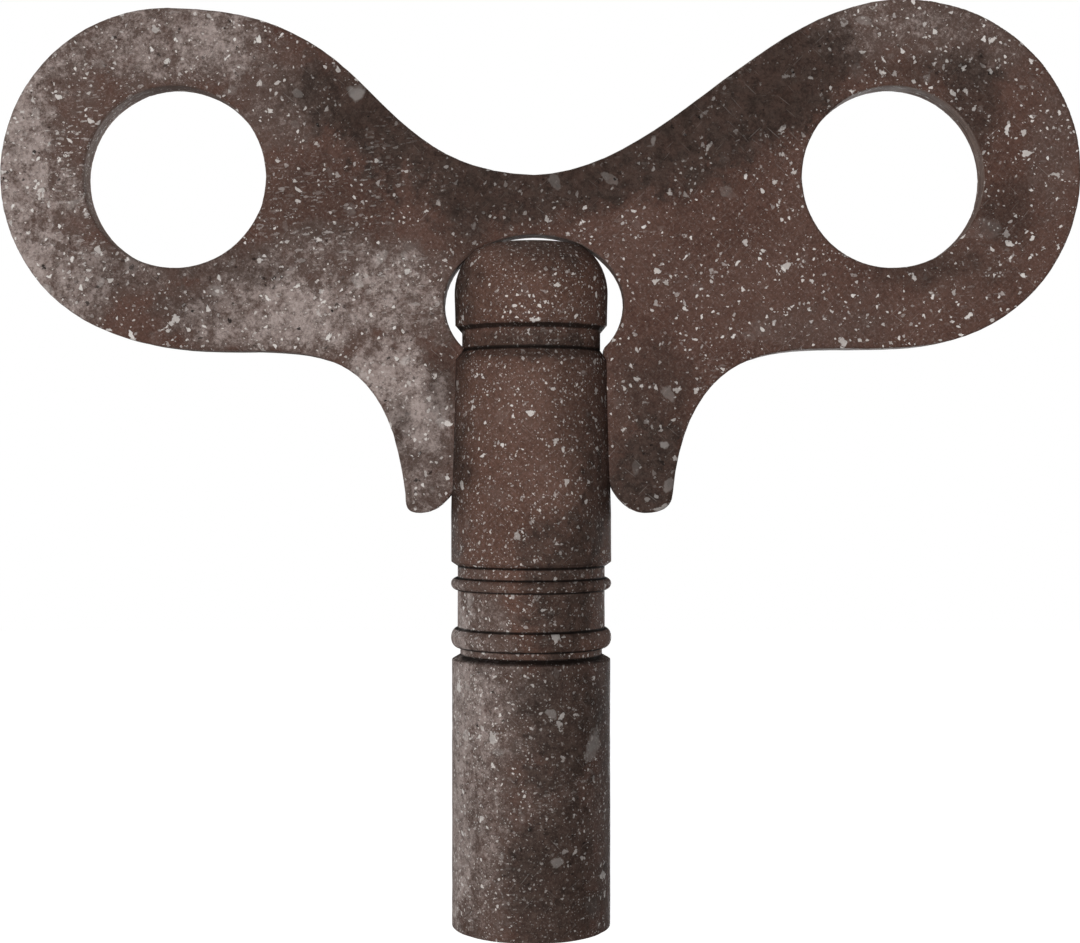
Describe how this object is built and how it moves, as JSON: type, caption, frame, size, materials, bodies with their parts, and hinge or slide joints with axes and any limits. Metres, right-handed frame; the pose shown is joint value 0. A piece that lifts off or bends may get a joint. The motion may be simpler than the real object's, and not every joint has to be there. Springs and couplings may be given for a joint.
{
  "type": "winged winding key",
  "caption": "Winged winding key: a flat two-winged bow with finger holes, its legs gripping a turned round barrel with a square socket in its open end.",
  "frame": {"origin": "centre of the barrel's open mouth, on the barrel axis", "axes": "+Z along the barrel axis from the mouth towards the bow; +X along the bow towards the larger wing; +Y through the bow's thickness, with the front facing -Y"},
  "size_m": [0.061, 0.0092, 0.0524],
  "materials": {
    "bow_paint": "dark chocolate-brown old paint over steel, dull, clouded grey in places and sprinkled with small pale chips and scratches",
    "turned_paint": "dark chocolate-brown old paint over turned steel, dull satin, with small pale chips",
    "barrel_paint": "dark grey-brown old paint over steel, mottled grey, with small pale chips and dark pits",
    "worn_steel": "darkened steel with brown stains, dull"
  },
  "bodies": {
    "root": {"bow_plate": "bow_paint", "head_knob": "turned_paint", "upper_sleeve": "turned_paint", "spindle": "turned_paint", "thin_ring": "turned_paint", "thick_ring": "turned_paint", "socket_barrel": "barrel_paint", "square_bush": "worn_steel", "sleeve_pin": "worn_steel", "socket_pin": "worn_steel"}
  },
  "joints": []
}
